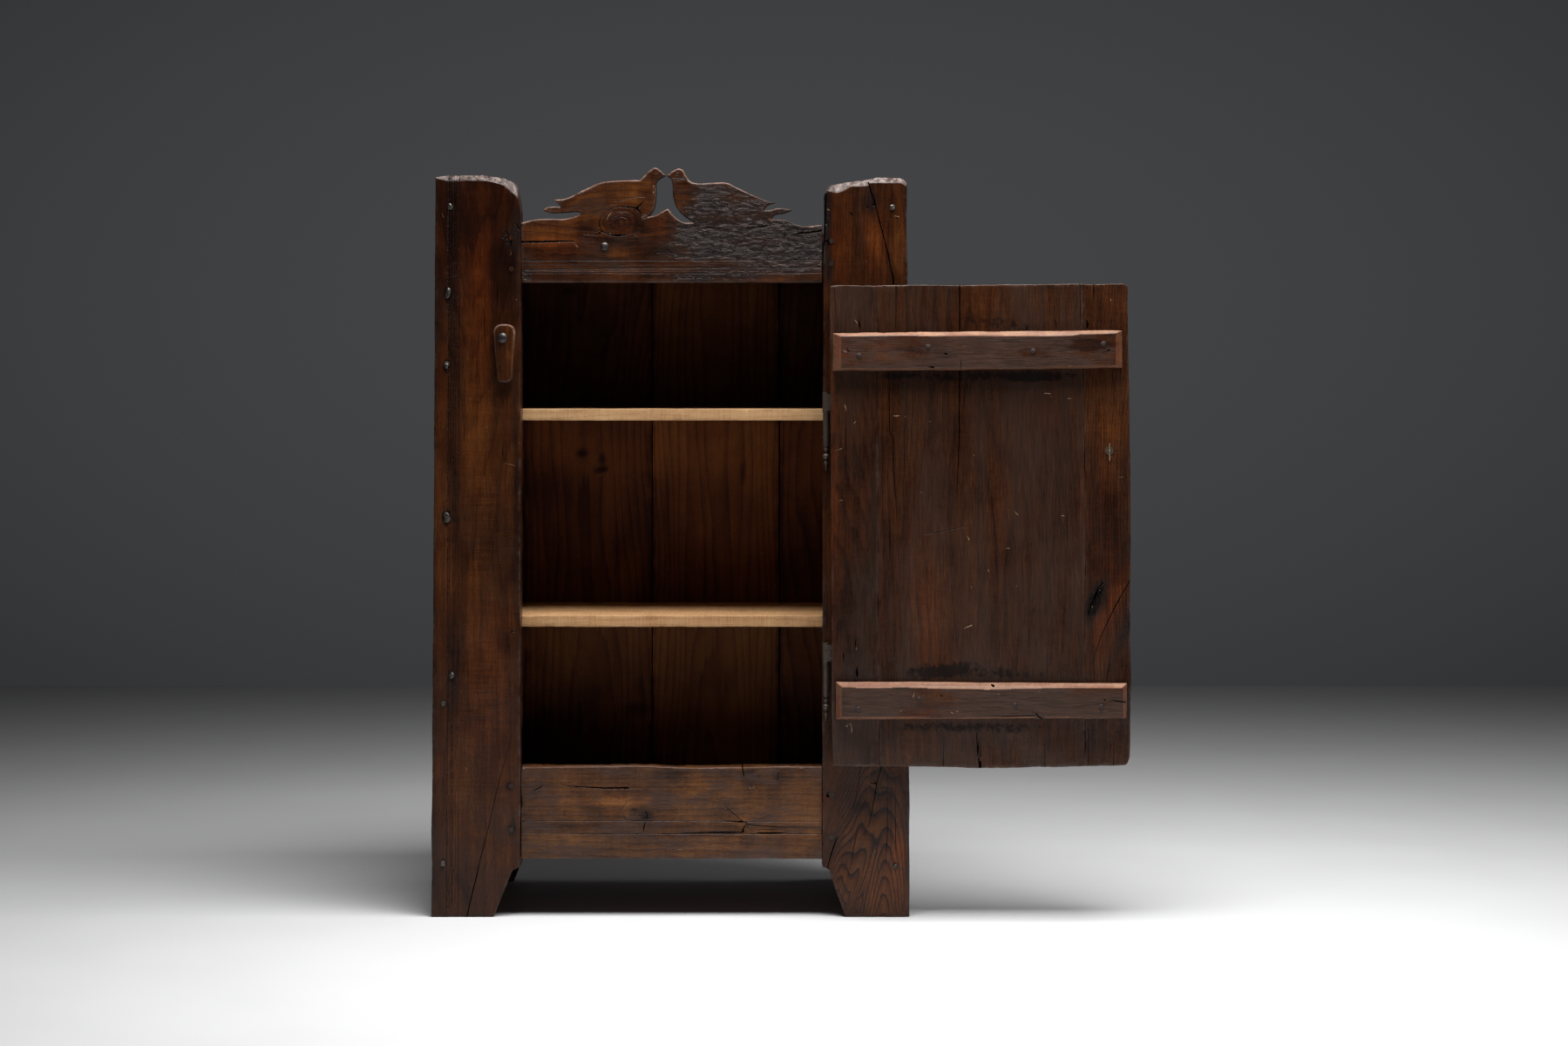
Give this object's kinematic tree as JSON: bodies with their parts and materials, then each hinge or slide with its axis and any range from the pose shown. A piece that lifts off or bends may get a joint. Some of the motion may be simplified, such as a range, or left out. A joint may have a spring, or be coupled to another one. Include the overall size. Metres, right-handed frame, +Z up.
{
  "type": "court cupboard",
  "caption": "Rustic plank cupboard on hewn legs, with a plank door folded open, shelves, and facing doves carved in the crest rail.",
  "frame": {"origin": "middle of the footprint, on the floor", "axes": "+X to the viewer's right, +Y to the back, +Z up"},
  "size_m": [1.2005, 0.4758, 1.2903],
  "materials": {
    "leg_wood": "old waxed, worn",
    "board_wood": "old, dry",
    "door_wood": "old waxed, worn",
    "batten_wood": "old, dull",
    "pale_pine": "raw",
    "peg_wood": "old",
    "iron": "forged, dark"
  },
  "bodies": {
    "carcass": {"back_board_1": "board_wood", "back_board_2": "board_wood", "back_board_3": "board_wood", "back_board_4": "board_wood", "back_board_nails": "iron", "back_leg_nails": "iron", "back_pegs": "peg_wood", "back_rail_lower": "board_wood", "back_rail_upper": "board_wood", "bottom_board_back": "board_wood", "bottom_board_front": "board_wood", "bottom_rail": "leg_wood", "button_nail": "iron", "cleat_bottom_left": "board_wood", "cleat_bottom_right": "board_wood", "cleat_lower_left": "board_wood", "cleat_lower_right": "board_wood", "cleat_nails": "iron", "cleat_top_left": "board_wood", "cleat_top_right": "board_wood", "cleat_upper_left": "board_wood", "cleat_upper_right": "board_wood", "crest_nail": "iron", "crest_rail": "leg_wood", "floor_board_nails": "iron", "front_leg_nails": "iron", "front_pegs": "peg_wood", "hinge_leg_pins": "iron", "hinge_lower_leg_half": "iron", "hinge_pin_lower": "iron", "hinge_pin_upper": "iron", "hinge_upper_leg_half": "iron", "leg_back_left": "leg_wood", "leg_back_right": "leg_wood", "leg_front_left": "leg_wood", "leg_front_right": "leg_wood", "shelf_lower": "pale_pine", "shelf_upper": "pale_pine", "side_board_left_back": "board_wood", "side_board_left_front": "board_wood", "side_board_right_back": "board_wood", "side_board_right_front": "board_wood", "top_board_back": "board_wood", "top_board_front": "board_wood"},
    "door": {"batten_nails": "iron", "door_batten_lower": "batten_wood", "door_batten_upper": "batten_wood", "door_board_free_side": "door_wood", "door_board_hinge_side": "door_wood", "door_board_middle": "door_wood", "hinge_door_pins": "iron", "hinge_lower_door_half": "iron", "hinge_upper_door_half": "iron", "pull_pin": "iron", "pull_washer": "iron"},
    "turn_button": {"turn_button": "leg_wood"},
    "pull_ring": {"pull_ring": "iron"}
  },
  "joints": [
    {"name": "door_hinge", "type": "hinge", "parent": "carcass", "child": "door", "pos_m": [0.267, -0.2115, 0.65], "axis": [0, 0, -1], "range_deg": [0, 180]},
    {"name": "button_turn", "type": "hinge", "parent": "carcass", "child": "turn_button", "pos_m": [-0.2885, -0.2053, 0.99675], "axis": [0, -1, 0], "continuous": true},
    {"name": "ring_swing", "type": "hinge", "parent": "door", "child": "pull_ring", "pos_m": [0.751, -0.211, 0.8037], "axis": [1, 0, 0], "range_deg": [-5, 150]}
  ]
}
